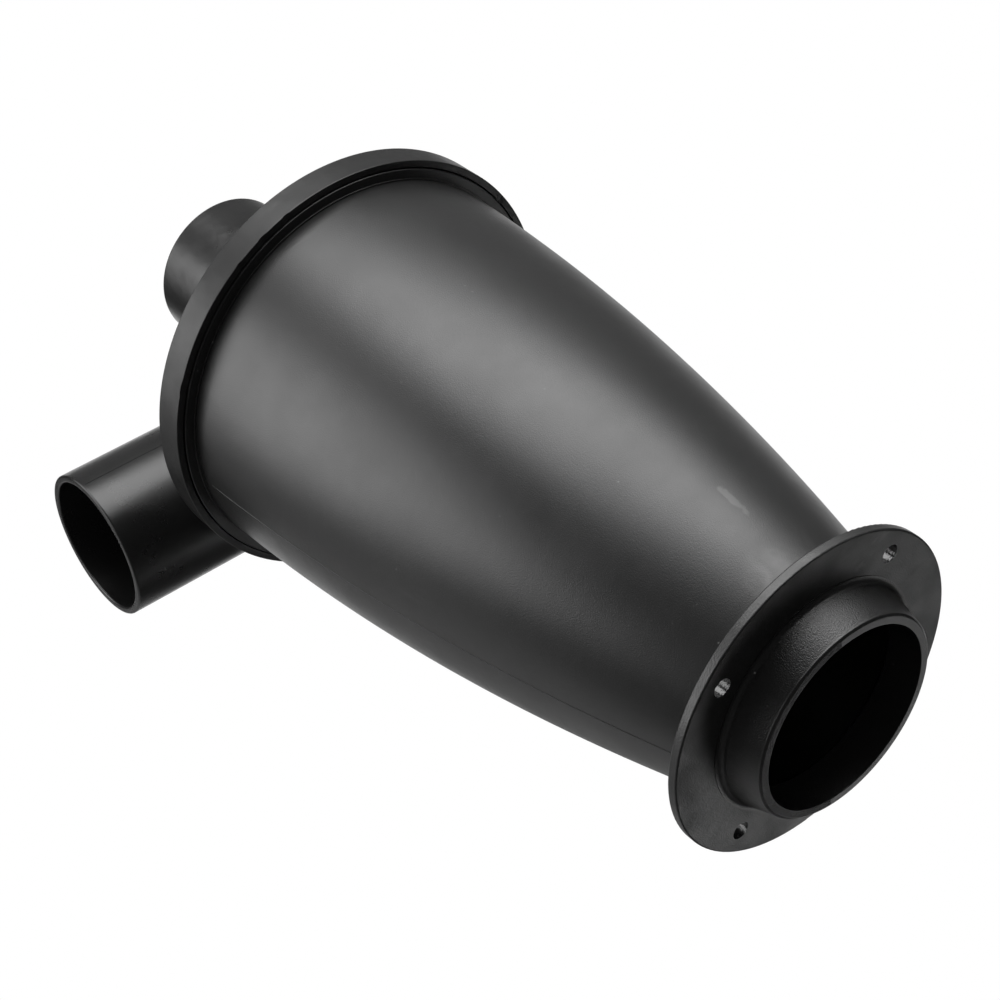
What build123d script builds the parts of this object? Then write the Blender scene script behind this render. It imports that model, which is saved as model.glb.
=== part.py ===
from build123d import *
from math import cos, radians, sin
import os

# A small moulded cyclone separator for shop dust, standing upright on its dust spigot.
# Z is the cyclone's axis, and the origin is the centre of the spigot's mouth.
# Two mouldings make it: the lower body (spigot, flange, cone, rim), and the cap
# (skirt, plate, snail-shaped inlet duct, inlet pipe, outlet pipe and the tube inside).

# Dust spigot and the flange that is screwed to the lid of a bin
SPIGOT_BORE_R = 28.0
SPIGOT_WALL = 3.0
SPIGOT_DRAFT = 2.5
SPIGOT_HEIGHT = 11.5
SPIGOT_FILLET = 1.6
FLANGE_R = 49.0
FLANGE_THICKNESS = 3.0
FLANGE_EDGE_ROUND = 0.5
SCREW_HOLE_R = 2.75
SCREW_CIRCLE_R = 42.0
SCREW_COUNT = 4
SCREW_FIRST_ANGLE = 37.5

# Cone, a barrel-like taper whose side is one arc
CONE_FOOT_R = 35.5
CONE_TOP_R = 64.0
CONE_BULGE = 6.2
CONE_HEIGHT = 191.0
CONE_WALL = 3.0

# Rim round the top of the cone, tucked inside the skirt of the cap
RIM_WIDTH = 3.4
RIM_HEIGHT = 7.5
RIM_CLEARANCE = 0.3

# Cap: a flat plate with a skirt that hangs over the rim
SKIRT_WALL = 2.3
SKIRT_DROP = 7.0
SKIRT_EDGE_ROUND = 1.0
PLATE_THICKNESS = 3.0

# Hose pipes, both of one size
HOSE_R = 25.0
HOSE_WALL = 2.5
MOUTH_ROUND = 0.5
OUTLET_HEIGHT = 70.0
VORTEX_LENGTH = 60.0
INLET_REACH = 87.0
INLET_LIFT = 27.0
INLET_OVERHANG = 0.8

# Snail: the inlet duct turns about the outlet pipe and sinks into the plate
SNAIL_TURN = 270.0
SNAIL_STEPS = 9
SNAIL_DROP = 52.0
SNAIL_TAPER = 4.0
SNAIL_CLOSE_IN = 3.0
SNAIL_PIECES = {"snail_mouth": (-90.0, 65.0), "snail_bend": (65.0, 125.0), "snail_tail": (125.0, 275.0)}

# Levels that follow from the sizes above
flange_z = SPIGOT_HEIGHT
cone_z = flange_z + FLANGE_THICKNESS
cone_top_z = cone_z + CONE_HEIGHT
plate_z = cone_top_z + RIM_HEIGHT
cap_z = plate_z + PLATE_THICKNESS
inlet_z = cap_z + INLET_LIFT
rim_r = CONE_TOP_R + RIM_WIDTH
skirt_in_r = rim_r + RIM_CLEARANCE
skirt_r = skirt_in_r + SKIRT_WALL
inlet_offset = skirt_r + INLET_OVERHANG - HOSE_R
hose_in_r = HOSE_R - HOSE_WALL
# The straight inlet pipe ends level with the side of the outlet pipe, and the snail goes on from there
snail_lead = HOSE_R


def ring(outer_r, inner_r, z, height):
    """Plain ring about Z that stands on level z."""
    tube = Cylinder(outer_r, height, align=(Align.CENTER, Align.CENTER, Align.MIN))
    hole = Cylinder(inner_r, height, align=(Align.CENTER, Align.CENTER, Align.MIN))
    return Pos(0, 0, z) * (tube - hole)


def rim_edges(solid, radius, z):
    """Round edges of a given radius on level z."""
    level = solid.edges().filter_by(GeomType.CIRCLE).filter_by_position(Axis.Z, z - 0.01, z + 0.01)
    return [edge for edge in level if abs(edge.radius - radius) < 0.01]


def cone_outline(inset):
    """Half outline of the cone, moved inwards by inset, closed along the axis."""
    foot_r = CONE_FOOT_R - inset
    top_r = CONE_TOP_R - inset
    middle = ((foot_r + top_r) / 2 + CONE_BULGE, cone_z + CONE_HEIGHT / 2)
    side = ThreePointArc((foot_r, cone_z), middle, (top_r, cone_top_z))
    ends = Polyline((top_r, cone_top_z), (0, cone_top_z), (0, cone_z), (foot_r, cone_z))
    return Plane.XZ * make_face(side + ends)


def dust_spigot():
    """Short drafted collar below the flange, with a straight bore and a fillet at its root."""
    mouth_r = SPIGOT_BORE_R + SPIGOT_WALL
    root_r = mouth_r + SPIGOT_DRAFT
    root = (root_r, flange_z - SPIGOT_FILLET)
    seat = (root_r + SPIGOT_FILLET, flange_z)
    inner = Polyline(seat, (SPIGOT_BORE_R, flange_z), (SPIGOT_BORE_R, 0), (mouth_r, 0), root)
    collar = Plane.XZ * make_face(inner + RadiusArc(root, seat, SPIGOT_FILLET))
    return revolve(collar, Axis.Z)


def bin_flange():
    """Round flange with its screw holes, whose hole widens from the bore to the cone."""
    disc = Pos(0, 0, flange_z + FLANGE_THICKNESS / 2) * Cylinder(FLANGE_R, FLANGE_THICKNESS)
    disc = fillet(rim_edges(disc, FLANGE_R, flange_z) + rim_edges(disc, FLANGE_R, cone_z), FLANGE_EDGE_ROUND)
    throat = Pos(0, 0, flange_z + FLANGE_THICKNESS / 2) * Cone(
        SPIGOT_BORE_R, CONE_FOOT_R - CONE_WALL, FLANGE_THICKNESS
    )
    disc -= throat
    screw_hole = Cylinder(SCREW_HOLE_R, FLANGE_THICKNESS, align=(Align.CENTER, Align.CENTER, Align.MIN))
    places = PolarLocations(SCREW_CIRCLE_R, SCREW_COUNT, start_angle=SCREW_FIRST_ANGLE)
    return disc - [Pos(0, 0, flange_z) * place * screw_hole for place in places]


def cone_shell():
    """Thin wall of the barrel-like cone, open at both ends."""
    return revolve(cone_outline(0), Axis.Z) - revolve(cone_outline(CONE_WALL), Axis.Z)


def cone_rim():
    """Ring on top of the cone that the cap's skirt covers."""
    return ring(rim_r, CONE_TOP_R - CONE_WALL, cone_top_z, RIM_HEIGHT)


def cap_skirt():
    """Skirt of the cap, from the plate's top down past the rim, rounded at its top edge."""
    height = SKIRT_DROP + PLATE_THICKNESS
    skirt = ring(skirt_r, skirt_in_r, cap_z - height, height)
    return fillet(rim_edges(skirt, skirt_r, cap_z), SKIRT_EDGE_ROUND)


def snail_section(turn, inset):
    """Round section of the snail at a turn in degrees from where the inlet meets it."""
    share = turn / SNAIL_TURN
    sink = share * share * (3 - 2 * share)
    reach = inlet_offset - SNAIL_CLOSE_IN * share
    centre = (reach * sin(radians(turn)), reach * cos(radians(turn)), inlet_z - SNAIL_DROP * sink)
    heading = (cos(radians(turn)), -sin(radians(turn)), 0)
    plane = Plane(origin=centre, x_dir=(0, 0, 1), z_dir=heading)
    return plane * Circle(HOSE_R - SNAIL_TAPER * share - inset)


def inlet_plane(x, heading):
    """Plane across the inlet's axis at x, facing along X one way or the other."""
    return Plane(origin=(x, inlet_offset, inlet_z), x_dir=(0, 0, 1), z_dir=(heading, 0, 0))


def snail_core(inset):
    """Whole horn of the snail, from the end of the inlet pipe to below the plate."""
    straight = [inlet_plane(x, 1) * Circle(HOSE_R - inset) for x in (-snail_lead, -snail_lead / 2)]
    turns = [SNAIL_TURN * step / SNAIL_STEPS for step in range(SNAIL_STEPS + 1)]
    return loft(straight + [snail_section(turn, inset) for turn in turns])


def outlet_core():
    """Solid that the outlet pipe takes up."""
    return Pos(0, 0, plate_z) * Cylinder(
        HOSE_R, PLATE_THICKNESS + OUTLET_HEIGHT, align=(Align.CENTER, Align.CENTER, Align.MIN)
    )


def cap_plate():
    """Flat plate inside the skirt, with the way down from the snail and the outlet pipe's hole."""
    disc = Pos(0, 0, plate_z + PLATE_THICKNESS / 2) * Cylinder(skirt_in_r, PLATE_THICKNESS)
    return disc - outlet_core() - snail_core(HOSE_WALL)


def snail_wall():
    """Wall of the whole horn, with room for the outlet pipe."""
    return snail_core(0) - snail_core(HOSE_WALL) - outlet_core()


def turn_sector(start, end):
    """Wedge about the axis between two turns, from the plate's top to above the horn."""
    reach = 2 * (INLET_REACH + skirt_r)
    turns = (radians(start), radians((start + end) / 2), radians(end))
    corners = [(0, 0)] + [(reach * sin(turn), reach * cos(turn)) for turn in turns]
    wedge = Pos(0, 0, cap_z) * make_face(Polyline(*corners, close=True))
    return extrude(wedge, INLET_LIFT + 2 * HOSE_R, dir=(0, 0, 1))


def snail_pieces():
    """Lengths of the snail above the plate, each named for the stretch of the turn that it covers."""
    wall = snail_wall()
    lengths = {name: wall & turn_sector(start, end) for name, (start, end) in SNAIL_PIECES.items()}
    # Beside the outlet pipe, the mouth's floor runs on for a while after the rest of it has sunk into the plate
    *strips, bend = lengths["snail_bend"].solids().sort_by(SortBy.VOLUME)
    lengths["snail_bend"] = bend
    for strip in strips:
        lengths["snail_mouth"] += strip
    return lengths


def hose_pipe(length):
    """Hose pipe along Z from its root at level 0, with a rounded mouth."""
    pipe = ring(HOSE_R, hose_in_r, 0, length)
    return fillet(rim_edges(pipe, HOSE_R, length) + rim_edges(pipe, hose_in_r, length), MOUTH_ROUND)


def inlet_pipe():
    """Inlet pipe, level and to one side of the axis, with its mouth at the far -X end."""
    return inlet_plane(-snail_lead, -1) * hose_pipe(INLET_REACH - snail_lead)


def outlet_pipe():
    """Outlet pipe on the axis, from the plate's underside up to its mouth."""
    return Pos(0, 0, plate_z) * hose_pipe(PLATE_THICKNESS + OUTLET_HEIGHT)


def vortex_tube():
    """Tube that carries the outlet on down inside the cone."""
    return ring(HOSE_R, hose_in_r, plate_z - VORTEX_LENGTH, VORTEX_LENGTH)


nodes = {
    "dust_spigot": dust_spigot(),
    "bin_flange": bin_flange(),
    "cone_shell": cone_shell(),
    "cone_rim": cone_rim(),
    "cap_skirt": cap_skirt(),
    "cap_plate": cap_plate(),
    "inlet_pipe": inlet_pipe(),
    "outlet_pipe": outlet_pipe(),
    "vortex_tube": vortex_tube(),
}
nodes.update(snail_pieces())

os.makedirs("parts", exist_ok=True)
for name, solid in nodes.items():
    export_step(solid, f"parts/{name}.step")
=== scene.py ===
from math import atan2, cos, degrees, pi, radians, sin

import bmesh
import bpy
from mathutils import Matrix, Vector


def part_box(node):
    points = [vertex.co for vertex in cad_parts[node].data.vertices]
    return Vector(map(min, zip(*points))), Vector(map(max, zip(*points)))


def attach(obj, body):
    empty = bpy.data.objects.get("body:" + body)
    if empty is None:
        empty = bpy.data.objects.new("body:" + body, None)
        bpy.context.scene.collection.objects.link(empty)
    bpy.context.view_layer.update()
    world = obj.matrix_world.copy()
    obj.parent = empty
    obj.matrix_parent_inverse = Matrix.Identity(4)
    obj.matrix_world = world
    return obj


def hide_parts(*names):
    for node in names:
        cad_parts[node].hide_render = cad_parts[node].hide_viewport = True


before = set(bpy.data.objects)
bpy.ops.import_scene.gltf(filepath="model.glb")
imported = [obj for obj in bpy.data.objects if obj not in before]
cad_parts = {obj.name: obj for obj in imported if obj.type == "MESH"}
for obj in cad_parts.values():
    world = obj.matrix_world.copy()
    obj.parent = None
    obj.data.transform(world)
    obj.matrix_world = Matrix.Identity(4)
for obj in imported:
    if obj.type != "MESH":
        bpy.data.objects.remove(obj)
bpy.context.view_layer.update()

# Cone of the lower body: a barrel-like taper whose side is one long arc.
# It is black plastic about as thick as a coin, moulded in one shot with the flange, spigot and rim.
CONE_FOOT_R = 0.0355
CONE_BULGE = 0.0062
CONE_WALL = 0.003
CONE_RINGS = 40
ROUND_STEPS = 192
EDGE_HOLD = 0.0002
LONG_STRAIGHT = 5 * EDGE_HOLD
SAME_POINT = 1e-6
CREASE = radians(32)
BLACK = (0.006, 0.006, 0.006)
BODY_IOR = 1.58
DUST_COLOUR = (0.30, 0.30, 0.30)
SOILED_ROUGHNESS = 0.5
RUBBED = 0.14
STREAK_PLACE = (0.0031, -0.0434, 0.0456)
STREAK_REACH = (0.0026, 0.0100, 0.0125)
WIPED_PLACE = (-0.0035, -0.0380, 0.0225)
WIPED_REACH = (0.0110, 0.0110, 0.0095)


def held(outline):
    """Outline with a point close to both ends of each long straight, so that its face shades flat."""
    points = []
    for here, there in zip(outline, outline[1:] + outline[:1]):
        here, there = Vector(here), Vector(there)
        points.append(here)
        if (there - here).length > LONG_STRAIGHT:
            step = (there - here).normalized() * EDGE_HOLD
            points += [here + step, there - step]
    return points


def turned(name, outline, steps=ROUND_STEPS):
    """Piece of revolution about Z from a closed outline of radius and height, with smooth faces."""
    shape = bmesh.new()
    points = [shape.verts.new((r, 0, z)) for r, z in held(outline)]
    edges = [shape.edges.new((points[i - 1], points[i])) for i in range(len(points))]
    bmesh.ops.spin(
        shape, geom=points + edges, cent=(0, 0, 0), axis=(0, 0, 1), dvec=(0, 0, 0),
        angle=2 * pi, steps=steps, use_merge=True, use_normal_flip=False, use_duplicate=False,
    )
    bmesh.ops.remove_doubles(shape, verts=shape.verts, dist=SAME_POINT)
    bmesh.ops.recalc_face_normals(shape, faces=shape.faces)
    return finished(name, shape)


def finished(name, shape):
    """Object in the scene from a bmesh, smooth but for edges sharper than the crease."""
    mesh = bpy.data.meshes.new(name)
    for edge in shape.edges:
        edge.smooth = edge.calc_face_angle(0) < CREASE
    for face in shape.faces:
        face.smooth = True
    shape.to_mesh(mesh)
    shape.free()
    piece = bpy.data.objects.new(name, mesh)
    bpy.context.scene.collection.objects.link(piece)
    return piece


def settle(piece, slot, material, *nodes):
    """Gives a piece its material, hangs it under the root body, and hides the CAD nodes that it stands for.
    """
    piece.data.materials.clear()
    piece.data.materials.append(material)
    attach(piece, "root")
    if nodes:
        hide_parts(*nodes)


def sockets(group, direction, **kinds):
    """Adds named sockets to a node group."""
    for name, kind in kinds.items():
        group.interface.new_socket(name.replace("_", " "), in_out=direction, socket_type=kind)


def noise(tree, coordinates, scale, detail=3.0, roughness=0.55):
    """Noise texture on given coordinates."""
    node = tree.nodes.new("ShaderNodeTexNoise")
    node.inputs["Scale"].default_value = scale
    node.inputs["Detail"].default_value = detail
    node.inputs["Roughness"].default_value = roughness
    tree.links.new(coordinates, node.inputs["Vector"])
    return node.outputs["Fac"]


def remap(tree, value, low, high, to_low=0.0, to_high=1.0):
    """Maps a value from one range to another and clamps it."""
    node = tree.nodes.new("ShaderNodeMapRange")
    node.inputs["From Min"].default_value = low
    node.inputs["From Max"].default_value = high
    node.inputs["To Min"].default_value = to_low
    node.inputs["To Max"].default_value = to_high
    tree.links.new(value, node.inputs["Value"])
    return node.outputs["Result"]


def maths(tree, operation, first, second):
    """Maths node on two sockets or numbers."""
    node = tree.nodes.new("ShaderNodeMath")
    node.operation = operation
    for socket, value in zip(node.inputs, (first, second)):
        if isinstance(value, (int, float)):
            socket.default_value = value
        else:
            tree.links.new(value, socket)
    return node.outputs[0]


def moulded_surface():
    """Node group of what all moulded faces share: grain, sink waves, cloudy gloss, specks and smears."""
    group = bpy.data.node_groups.new("moulded_surface", "ShaderNodeTree")
    sockets(group, "INPUT", Vector="NodeSocketVector", Grain_Scale="NodeSocketFloat")
    sockets(group, "OUTPUT", Grain="NodeSocketFloat", Waves="NodeSocketFloat", Cloud="NodeSocketFloat")
    sockets(group, "OUTPUT", Specks="NodeSocketFloat", Smears="NodeSocketFloat")
    start = group.nodes.new("NodeGroupInput")
    end = group.nodes.new("NodeGroupOutput")
    vector = start.outputs["Vector"]
    grain = group.nodes.new("ShaderNodeTexNoise")
    grain.inputs["Detail"].default_value = 2.0
    group.links.new(vector, grain.inputs["Vector"])
    group.links.new(start.outputs["Grain Scale"], grain.inputs["Scale"])
    group.links.new(grain.outputs["Fac"], end.inputs["Grain"])
    group.links.new(noise(group, vector, 140.0, 1.0), end.inputs["Waves"])
    group.links.new(noise(group, vector, 55.0, 6.0, 0.65), end.inputs["Cloud"])
    cells = group.nodes.new("ShaderNodeTexVoronoi")
    cells.inputs["Scale"].default_value = 190.0
    group.links.new(vector, cells.inputs["Vector"])
    speck = remap(group, cells.outputs["Distance"], 0.035, 0.065, 1.0, 0.0)
    dusty = remap(group, noise(group, vector, 60.0, 2.0), 0.55, 0.62)
    group.links.new(maths(group, "MULTIPLY", speck, dusty), end.inputs["Specks"])
    drawn = group.nodes.new("ShaderNodeMapping")
    drawn.inputs["Scale"].default_value = (1.0, 1.0, 0.22)
    group.links.new(vector, drawn.inputs["Vector"])
    smear = remap(group, noise(group, drawn.outputs["Vector"], 150.0, 6.0, 0.7), 0.60, 0.74)
    touched = remap(group, noise(group, vector, 14.0, 2.0), 0.52, 0.66)
    group.links.new(maths(group, "MULTIPLY", smear, touched), end.inputs["Smears"])
    return group


def patch(tree, vector, centre, reach, core=0.35):
    """Mask round a point, full up to a share of its reach along each axis, from where it fades out."""
    from_centre = tree.nodes.new("ShaderNodeVectorMath")
    from_centre.operation = "SUBTRACT"
    tree.links.new(vector, from_centre.inputs[0])
    from_centre.inputs[1].default_value = centre
    shares = tree.nodes.new("ShaderNodeVectorMath")
    shares.operation = "DIVIDE"
    tree.links.new(from_centre.outputs["Vector"], shares.inputs[0])
    shares.inputs[1].default_value = reach
    far = tree.nodes.new("ShaderNodeVectorMath")
    far.operation = "LENGTH"
    tree.links.new(shares.outputs["Vector"], far.inputs[0])
    return remap(tree, far.outputs["Value"], core, 1.0, 1.0, 0.0)


def rubbed_foot(tree, vector):
    """Mask of the rubbed places near the cone's foot: a ragged pale streak, and lines that a cloth left."""
    along = patch(tree, vector, STREAK_PLACE, STREAK_REACH, core=0.0)
    ragged = maths(tree, "ADD", along, noise(tree, vector, 260.0, 5.0, 0.65))
    streak = remap(tree, ragged, 0.98, 1.16)
    levels = maths(tree, "MULTIPLY", noise(tree, vector, 85.0, 2.0), 11.0)
    lines = remap(tree, maths(tree, "PINGPONG", levels, 1.0), -0.4, 1.0)
    wiped = maths(tree, "MULTIPLY", patch(tree, vector, WIPED_PLACE, WIPED_REACH), lines)
    return maths(tree, "MAXIMUM", streak, wiped)


surface_group = moulded_surface()


def plastic(
    name, gloss, uneven, grain_scale, grain_depth, wave_depth, dust, smear,
    ior=BODY_IOR, rubbed=None, polished=None,
):
    """Black moulded plastic: mean roughness and its swing, heights of grain and waves in metres, soiling."""
    material = bpy.data.materials.new(name)
    material.use_nodes = True
    tree = material.node_tree
    shader = tree.nodes["Principled BSDF"]
    place = tree.nodes.new("ShaderNodeTexCoord").outputs["Object"]
    surface = tree.nodes.new("ShaderNodeGroup")
    surface.node_tree = surface_group
    surface.inputs["Grain Scale"].default_value = grain_scale
    tree.links.new(place, surface.inputs["Vector"])
    specks = maths(tree, "MULTIPLY", surface.outputs["Specks"], dust)
    smears = maths(tree, "MULTIPLY", surface.outputs["Smears"], smear)
    soiled = pale = maths(tree, "MAXIMUM", specks, smears)
    if rubbed:
        pale = maths(tree, "MAXIMUM", soiled, maths(tree, "MULTIPLY", rubbed(tree, place), RUBBED))
    tint = tree.nodes.new("ShaderNodeMix")
    tint.data_type = "RGBA"
    tint.inputs["A"].default_value = (*BLACK, 1.0)
    tint.inputs["B"].default_value = (*DUST_COLOUR, 1.0)
    tree.links.new(pale, tint.inputs["Factor"])
    tree.links.new(tint.outputs["Result"], shader.inputs["Base Color"])
    cloudy = remap(tree, surface.outputs["Cloud"], 0.3, 0.7, gloss - uneven, gloss + uneven)
    rough = maths(tree, "ADD", cloudy, maths(tree, "MULTIPLY", soiled, SOILED_ROUGHNESS))
    if polished:
        rough = maths(tree, "MULTIPLY", rough, polished(tree, place))
    tree.links.new(rough, shader.inputs["Roughness"])
    height = maths(
        tree, "ADD", maths(tree, "MULTIPLY", surface.outputs["Grain"], grain_depth),
        maths(tree, "MULTIPLY", surface.outputs["Waves"], wave_depth),
    )
    bump = tree.nodes.new("ShaderNodeBump")
    bump.inputs["Distance"].default_value = 1.0
    tree.links.new(height, bump.inputs["Height"])
    tree.links.new(bump.outputs["Normal"], shader.inputs["Normal"])
    shader.inputs["IOR"].default_value = ior
    return material


cone_low, cone_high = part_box("cone_shell")


def cone_side(inset):
    """Points up the cone's arc, moved inwards by inset."""
    points = []
    for ring in range(CONE_RINGS + 1):
        share = ring / CONE_RINGS
        bulge = 4 * CONE_BULGE * share * (1 - share)
        radius = CONE_FOOT_R + (cone_high.x - CONE_FOOT_R) * share + bulge
        points.append((radius - inset, cone_low.z + (cone_high.z - cone_low.z) * share))
    return points


satin = plastic(
    "satin_body_plastic", gloss=0.37, uneven=0.035, grain_scale=3100.0, grain_depth=0.00005, wave_depth=0.0,
    dust=0.25, smear=0.06, rubbed=rubbed_foot,
)
cone = turned("cone", cone_side(0.0) + cone_side(CONE_WALL)[::-1])
settle(cone, "body_plastic", satin, "cone_shell")

# Parting lines of the lower body: where the two halves of its mould met, a fine line stands up the cone
# on both sides, midway between screw holes. A thin ledge at the cone's top is where its core met them.
SEAM_WIDTH = 0.0004
SEAM_HEIGHT = 0.00012
SEAM_SECTION = ((-0.5, -1.0), (0.5, -1.0), (0.2, 1.0), (-0.2, 1.0))
SEAM_ANGLE = radians(172.5)
LEDGE_WIDTH = 0.0006
LEDGE_HEIGHT = 0.0005
LEDGE_EDGE = 0.00012


def raised_line(path, across, out):
    """Bmesh of a fine raised line along a path, its lower half sunk in the face that it stands on."""
    shape = bmesh.new()
    points = []
    for width_share, height_share in SEAM_SECTION:
        offset = across * SEAM_WIDTH * width_share + out * SEAM_HEIGHT * height_share
        points.append(shape.verts.new(path[0] + offset))
    edges = [shape.edges.new((points[i - 1], points[i])) for i in range(len(points))]
    for here, there in zip(path, path[1:]):
        grown = bmesh.ops.extrude_edge_only(shape, edges=edges)["geom"]
        points = [part for part in grown if isinstance(part, bmesh.types.BMVert)]
        grown_edges = [part for part in grown if isinstance(part, bmesh.types.BMEdge)]
        edges = [edge for edge in grown_edges if set(edge.verts) <= set(points)]
        bmesh.ops.translate(shape, vec=there - here, verts=points)
    ends = [edge for edge in shape.edges if edge.is_boundary]
    bmesh.ops.holes_fill(shape, edges=ends, sides=len(SEAM_SECTION))
    bmesh.ops.recalc_face_normals(shape, faces=shape.faces)
    return shape


def rounded(corners, radius, segments=4):
    """Closed outline whose corners are rounded by a radius."""
    flat = bmesh.new()
    points = [flat.verts.new((r, 0, z)) for r, z in corners]
    flat.faces.new(points)
    bmesh.ops.bevel(
        flat, geom=points, offset=radius, offset_type="OFFSET", segments=segments, profile=0.5,
        affect="VERTICES", material=-1, clamp_overlap=True,
    )
    face = next(iter(flat.faces))
    outline = [(corner.vert.co.x, corner.vert.co.z) for corner in face.loops]
    flat.free()
    return outline


def band(name, bore, outer_r, low_z, high_z, edge, steps=ROUND_STEPS):
    """Ring about Z that is square in section, with its corners rounded."""
    corners = [(bore, low_z), (outer_r, low_z), (outer_r, high_z), (bore, high_z)]
    return turned(name, rounded(corners, edge), steps)


up_the_cone = [Vector((radius, 0, z)) for radius, z in cone_side(0.0)[:-1]]
seams = raised_line(up_the_cone, across=Vector((0, 1, 0)), out=Vector((1, 0, 0)))
bmesh.ops.spin(
    seams, geom=seams.verts[:] + seams.edges[:] + seams.faces[:], cent=(0, 0, 0), axis=(0, 0, 1),
    dvec=(0, 0, 0), angle=pi, steps=1, use_merge=False, use_normal_flip=False, use_duplicate=True,
)
bmesh.ops.rotate(seams, cent=(0, 0, 0), matrix=Matrix.Rotation(SEAM_ANGLE, 3, "Z"), verts=seams.verts)
settle(finished("cone_parting_lines", seams), "body_plastic", satin)

ledge = band(
    "cone_ledge", cone_high.x - LEDGE_WIDTH, cone_high.x + LEDGE_WIDTH,
    cone_high.z - LEDGE_HEIGHT, cone_high.z, LEDGE_EDGE,
)
settle(ledge, "body_plastic", satin)

# Flange at the cone's foot: a flat round plate with four screw holes, part of the same moulding.
# Its lower face sits on the lid of a bin. Polished pins in the mould left the holes' walls glossy.
SCREW_HOLE_R = 0.00275
SCREW_CIRCLE_R = 0.042
SCREW_FIRST_ANGLE = radians(37.5)
SCREW_COUNT = 4
PIN_POLISH = 0.2
PIN_REACH = 1.02 * SCREW_HOLE_R
ANY_HEIGHT = 1.0
PIN_CORE = 0.99


def pin_polished(tree, vector):
    """Factor on the roughness, which is low on the walls of the screw holes and 1 elsewhere."""
    walls = 0.0
    for hole in range(SCREW_COUNT):
        angle = SCREW_FIRST_ANGLE + 2 * pi * hole / SCREW_COUNT
        centre = (SCREW_CIRCLE_R * cos(angle), SCREW_CIRCLE_R * sin(angle), 0)
        pin = patch(tree, vector, centre, (PIN_REACH, PIN_REACH, ANY_HEIGHT), PIN_CORE)
        walls = maths(tree, "MAXIMUM", walls, pin)
    return remap(tree, walls, 0.0, 1.0, 1.0, PIN_POLISH)


handled = plastic(
    "handled_flange_plastic", gloss=0.40, uneven=0.13, grain_scale=2200.0, grain_depth=0.00008,
    wave_depth=0.00012, dust=0.25, smear=0.2, polished=pin_polished,
)
settle(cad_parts["bin_flange"], "body_plastic", handled)

# Dust spigot: short drafted collar under the flange, moulded with it, with a spark-eroded grain outside.
# A hollow fillet, which ends at a thin step, joins it to the flange, and its mouth is chamfered.
SPIGOT_BORE_R = 0.028
SPIGOT_MOUTH_R = 0.031
SPIGOT_ROOT_R = 0.0335
SPIGOT_FILLET = 0.0016
SPIGOT_CHAMFER = 0.0006
SPIGOT_EDGE = 0.0002
STEP_WIDTH = 0.0005
STEP_HEIGHT = 0.00015
FILLET_STEPS = 8

spigot_low, spigot_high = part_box("dust_spigot")
step_z = spigot_high.z - STEP_HEIGHT
step_r = SPIGOT_ROOT_R + SPIGOT_FILLET + STEP_WIDTH
fillet = []
for turn in range(FILLET_STEPS + 1):
    angle = pi / 2 * turn / FILLET_STEPS
    fillet_r = SPIGOT_ROOT_R + SPIGOT_FILLET * (1 - cos(angle))
    fillet.append((fillet_r, step_z - SPIGOT_FILLET * (1 - sin(angle))))
mouth_corners = [
    (SPIGOT_BORE_R, spigot_high.z), (SPIGOT_BORE_R, spigot_low.z),
    (SPIGOT_MOUTH_R - SPIGOT_CHAMFER, spigot_low.z), (SPIGOT_MOUTH_R, spigot_low.z + SPIGOT_CHAMFER),
]
spigot_outline = rounded(mouth_corners, SPIGOT_EDGE) + fillet + [(step_r, step_z), (step_r, spigot_high.z)]
grained = plastic(
    "grained_spigot_plastic", gloss=0.30, uneven=0.035, grain_scale=2900.0, grain_depth=0.00012,
    wave_depth=0.0, dust=0.25, smear=0.03,
)
settle(turned("spigot", spigot_outline), "grained_plastic", grained, "dust_spigot")

# Rim round the cone's top: a square ring of the same black plastic, moulded on with the cone.
# The cap's skirt sits over it, so that only a thin line of it shows from below.
RIM_EDGE = 0.0003

rim_low, rim_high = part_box("cone_rim")
rim = band("rim", cone_high.x - CONE_WALL, rim_high.x, rim_low.z, rim_high.z, RIM_EDGE)
settle(rim, "body_plastic", satin, "cone_rim")

# Skirt of the cap: a band that hangs over the rim, square in section with its corners just broken.
# It is black plastic, in one moulding with the rest of the cap. Flash was trimmed from its lower edge
# with a knife, which left a few nicks, listed by bearing and half width in degrees.
SKIRT_WALL = 0.0023
SKIRT_EDGE = 0.0003
SKIRT_STEPS = 480
NICK_DEPTH = 0.00035
NICKS = (
    (-158.0, 1.3), (-124.0, 0.8), (-115.5, 1.1), (-107.5, 0.8), (-33.0, 1.2), (48.0, 0.9), (117.0, 1.4),
)
CAP_IOR = 1.50

skirt_low, skirt_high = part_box("cap_skirt")
skirt = band(
    "skirt", skirt_high.x - SKIRT_WALL, skirt_high.x, skirt_low.z, skirt_high.z, SKIRT_EDGE, SKIRT_STEPS,
)
for corner in skirt.data.vertices:
    bearing = degrees(atan2(corner.co.y, corner.co.x))
    if any(abs(bearing - middle) < half for middle, half in NICKS):
        corner.co.z = max(corner.co.z, skirt_low.z + NICK_DEPTH)
dull = plastic(
    "dull_skirt_plastic", gloss=0.42, uneven=0.08, grain_scale=3000.0, grain_depth=0.00005,
    wave_depth=0.00018, dust=0.25, smear=0.06, ior=CAP_IOR,
)
settle(skirt, "cap_plastic", dull, "cap_skirt")

# Plate and snail of the cap: the duct winds down round the outlet pipe and through the plate.
# They are one moulding with the skirt and pipes, from a polished mould.
smooth = plastic(
    "smooth_cap_plastic", gloss=0.28, uneven=0.02, grain_scale=3200.0, grain_depth=0.00003,
    wave_depth=0.00005, dust=0.06, smear=0.01, ior=CAP_IOR,
)
for node in ("cap_plate", "snail_mouth", "snail_bend", "snail_tail"):
    settle(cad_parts[node], "cap_plastic", smooth)

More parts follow.
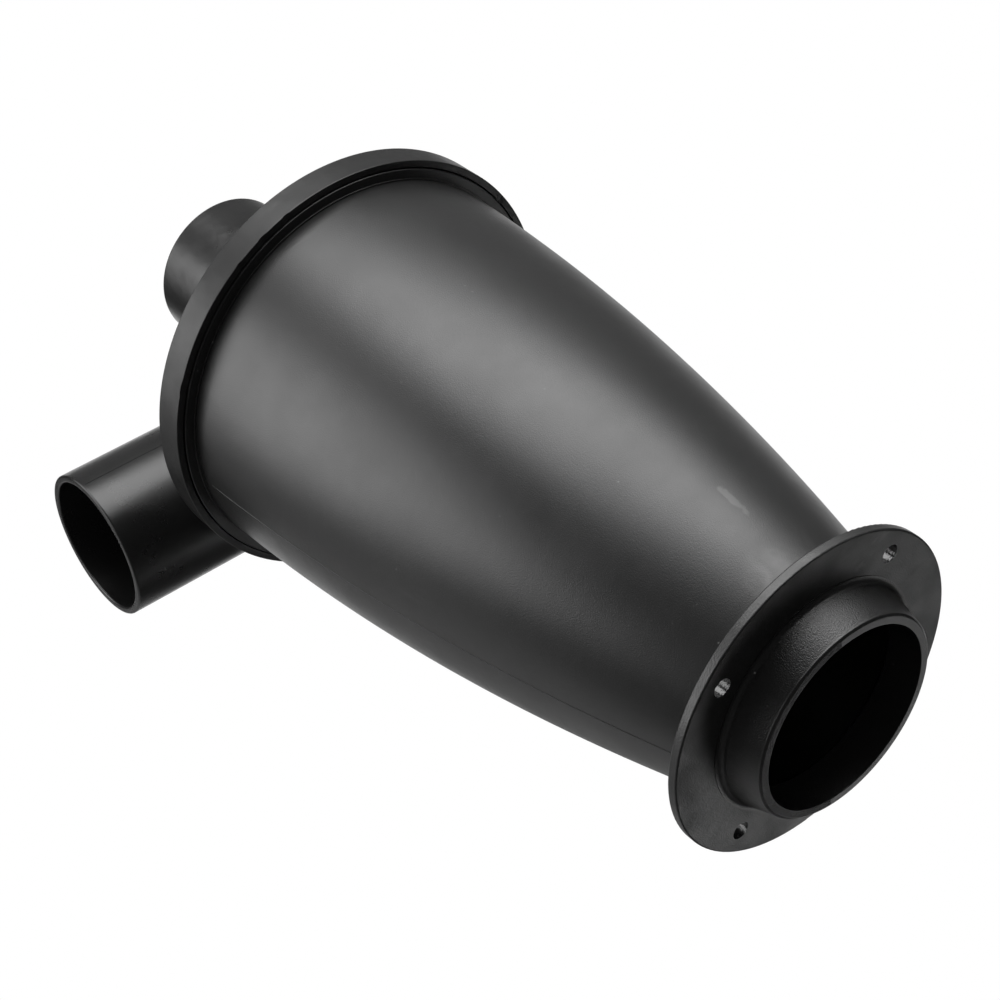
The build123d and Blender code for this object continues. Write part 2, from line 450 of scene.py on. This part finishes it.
# Hose pipes: two plain round pipes of one size, with edges rounded so that a hose slides on.
# One is level and to the side, for the dusty air in, and one is on the axis, for the clean air out.
# Both are moulded with the cap, and a fine parting line runs along the inlet's side.
PIPE_WALL = 0.0025
PIPE_EDGE = 0.0006


def pipe(name, radius, length):
    """Pipe that stands on level zero about Z, with a square root and a rounded mouth."""
    bore = radius - PIPE_WALL
    middle = length / 2
    upper_half = rounded([(radius, middle), (radius, length), (bore, length), (bore, middle)], PIPE_EDGE)
    mouth = [(r, z) for r, z in upper_half if z > (middle + length) / 2]
    return turned(name, [(bore, 0), (radius, 0)] + mouth)


inlet_low, inlet_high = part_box("inlet_pipe")
inlet_r = (inlet_high.z - inlet_low.z) / 2
inlet_z = inlet_low.z + inlet_r
inlet_root = Matrix.Translation((inlet_high.x, (inlet_low.y + inlet_high.y) / 2, inlet_z))
inlet = pipe("inlet", inlet_r, inlet_high.x - inlet_low.x)
inlet.data.transform(inlet_root @ Matrix.Rotation(-pi / 2, 4, "Y"))
settle(inlet, "cap_plastic", smooth, "inlet_pipe")

seam_ends = (inlet_low.x + 2 * PIPE_EDGE, inlet_high.x)
along_inlet = [Vector((x, inlet_low.y, inlet_z)) for x in seam_ends]
inlet_seam = raised_line(along_inlet, across=Vector((0, 0, 1)), out=Vector((0, -1, 0)))
settle(finished("inlet_parting_line", inlet_seam), "cap_plastic", smooth)

outlet_low, outlet_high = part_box("outlet_pipe")
outlet = pipe("outlet", outlet_high.x, outlet_high.z - outlet_low.z)
outlet.data.transform(Matrix.Translation((0, 0, outlet_low.z)))
wavy = plastic(
    "wavy_outlet_plastic", gloss=0.32, uneven=0.06, grain_scale=3000.0, grain_depth=0.00004,
    wave_depth=0.00022, dust=0.25, smear=0.10, ior=CAP_IOR,
)
settle(outlet, "cap_plastic", wavy, "outlet_pipe")

# Vortex tube: the outlet's pipe goes on down inside the cone, where the clean air is drawn off.
# It is the same smooth black plastic, moulded with the cap.
settle(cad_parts["vortex_tube"], "cap_plastic", smooth)

# Studio: two soft boxes light the object in a white room, on a paper floor that is seen from above only.
# Boards round it show in reflections alone, and give the black plastic its dark and pale bands.
CAMERA_PLACE = Vector((-0.2873, -0.3926, -0.2440))
CAMERA_AHEAD = Vector((0.4566, 0.6461, 0.6116))
CAMERA_UP = Vector((0.4447, -0.7612, 0.4721))
CAMERA_RIGHT = CAMERA_AHEAD.cross(CAMERA_UP).normalized()
CAMERA_LENS = 75.22
CAMERA_NEAR = 0.01
MIDDLE = Vector((0, 0, 0.12))
WHITE = (1.0, 1.0, 1.0, 1.0)
MATT = 0.9
FLOOR_SIZE = 16.0
FLOOR_SHADE = 0.8
FLOOR_GLOW = 0.3
ROOM_FILL = 0.5
ROOM_SEEN = 1.0


def look(ahead, up):
    """Turn that points an object's -Z ahead with its +Y up."""
    right = ahead.cross(up).normalized()
    true_up = right.cross(ahead).normalized()
    return Matrix((right, true_up, -ahead.normalized())).transposed().to_4x4()


camera = bpy.data.objects.new("camera", bpy.data.cameras.new("camera"))
camera.data.lens = CAMERA_LENS
camera.data.clip_start = CAMERA_NEAR
camera.matrix_world = Matrix.Translation(CAMERA_PLACE) @ look(CAMERA_AHEAD, CAMERA_UP)
bpy.context.scene.collection.objects.link(camera)
bpy.context.scene.camera = camera


def in_frame(right, up, ahead):
    """Point given from the object's middle by metres right, up and ahead in the photo."""
    return MIDDLE + CAMERA_RIGHT * right + CAMERA_UP * up + CAMERA_AHEAD * ahead


def soft_box(name, place, width, height, watts, up):
    """Large area lamp that faces the object from a place."""
    lamp = bpy.data.lights.new(name, "AREA")
    lamp.shape = "RECTANGLE"
    lamp.size = width
    lamp.size_y = height
    lamp.energy = watts
    box = bpy.data.objects.new(name, lamp)
    box.matrix_world = Matrix.Translation(place) @ look(MIDDLE - place, up)
    box.visible_camera = False
    bpy.context.scene.collection.objects.link(box)


soft_box("overhead_box", in_frame(-0.09, 0.80, -0.32), width=1.06, height=0.63, watts=10.2, up=CAMERA_AHEAD)
soft_box("left_box", in_frame(-0.76, 0.04, -0.10), width=0.60, height=0.64, watts=3.35, up=CAMERA_UP)


def sheet(name, width, height, shade):
    """Flat sheet on the ground with a matt grey paint, and the paint's node tree."""
    shape = bmesh.new()
    bmesh.ops.create_grid(shape, x_segments=1, y_segments=1, size=0.5)
    bmesh.ops.scale(shape, vec=(width, height, 1), verts=shape.verts)
    piece = finished(name, shape)
    paint = bpy.data.materials.new(name + "_paint")
    paint.use_nodes = True
    shader = paint.node_tree.nodes["Principled BSDF"]
    shader.inputs["Base Color"].default_value = (shade, shade, shade, 1)
    shader.inputs["Roughness"].default_value = MATT
    piece.data.materials.append(paint)
    return piece, paint.node_tree


def card(name, place, width, height, facing, up, shade):
    """Board that shows only in the plastic's reflections, so that the room isn't white all round."""
    board, _ = sheet(name, width, height, shade)
    board.data.transform(Matrix.Translation(place) @ look(facing, up))
    board.visible_camera = False
    board.visible_diffuse = False
    board.visible_shadow = False


card("front_card", in_frame(0, 0.2, -0.85), 4.0, 3.0, CAMERA_AHEAD, CAMERA_UP, shade=0.02)
card("left_card", in_frame(-1.4, 0.2, 1.1), 1.8, 3.0, CAMERA_RIGHT, CAMERA_UP, shade=0.05)
card("right_card", in_frame(1.4, 0.2, 0.6), 2.9, 3.0, -CAMERA_RIGHT, CAMERA_UP, shade=0.05)
card("ceiling_card", in_frame(0, 0.95, 1.0), 4.0, 2.0, -CAMERA_UP, CAMERA_AHEAD, shade=0.5)
card("under_card", in_frame(-1.0, -0.42, 0.60), 2.1, 1.2, CAMERA_UP, CAMERA_AHEAD, shade=0.42)
card("dark_card", in_frame(0, -0.43, 0.1), 4.0, 2.3, CAMERA_UP, CAMERA_AHEAD, shade=0.04)
card("table_card", in_frame(0.85, -0.40, 0.28), 1.02, 0.46, CAMERA_UP, CAMERA_AHEAD, shade=1.0)

floor, floor_tree = sheet("floor", FLOOR_SIZE, FLOOR_SIZE, FLOOR_SHADE)
paper = floor_tree.nodes["Principled BSDF"]
paper.inputs["Emission Color"].default_value = WHITE
paper.inputs["Emission Strength"].default_value = FLOOR_GLOW
side_seen = floor_tree.nodes.new("ShaderNodeNewGeometry")
ray = floor_tree.nodes.new("ShaderNodeLightPath")
clear = floor_tree.nodes.new("ShaderNodeBsdfTransparent")
choice = floor_tree.nodes.new("ShaderNodeMixShader")
above = maths(floor_tree, "SUBTRACT", 1.0, side_seen.outputs["Backfacing"])
shown = maths(floor_tree, "MULTIPLY", above, ray.outputs["Is Camera Ray"])
floor_tree.links.new(shown, choice.inputs["Fac"])
floor_tree.links.new(clear.outputs[0], choice.inputs[1])
floor_tree.links.new(paper.outputs[0], choice.inputs[2])
floor_tree.links.new(choice.outputs[0], floor_tree.nodes["Material Output"].inputs["Surface"])

room = bpy.data.worlds.new("white_room")
room.use_nodes = True
bpy.context.scene.world = room
room_tree = room.node_tree
seen = room_tree.nodes.new("ShaderNodeLightPath")
fill = room_tree.nodes["Background"]
fill.inputs["Color"].default_value = WHITE
fill.inputs["Strength"].default_value = ROOM_FILL
white = room_tree.nodes.new("ShaderNodeBackground")
white.inputs["Color"].default_value = WHITE
white.inputs["Strength"].default_value = ROOM_SEEN
mixed = room_tree.nodes.new("ShaderNodeMixShader")
either = maths(room_tree, "MAXIMUM", seen.outputs["Is Camera Ray"], seen.outputs["Is Glossy Ray"])
either = maths(room_tree, "MAXIMUM", either, seen.outputs["Is Transmission Ray"])
room_tree.links.new(either, mixed.inputs["Fac"])
room_tree.links.new(fill.outputs[0], mixed.inputs[1])
room_tree.links.new(white.outputs[0], mixed.inputs[2])
room_tree.links.new(mixed.outputs[0], room_tree.nodes["World Output"].inputs["Surface"])

bpy.context.scene.view_settings.view_transform = "Standard"
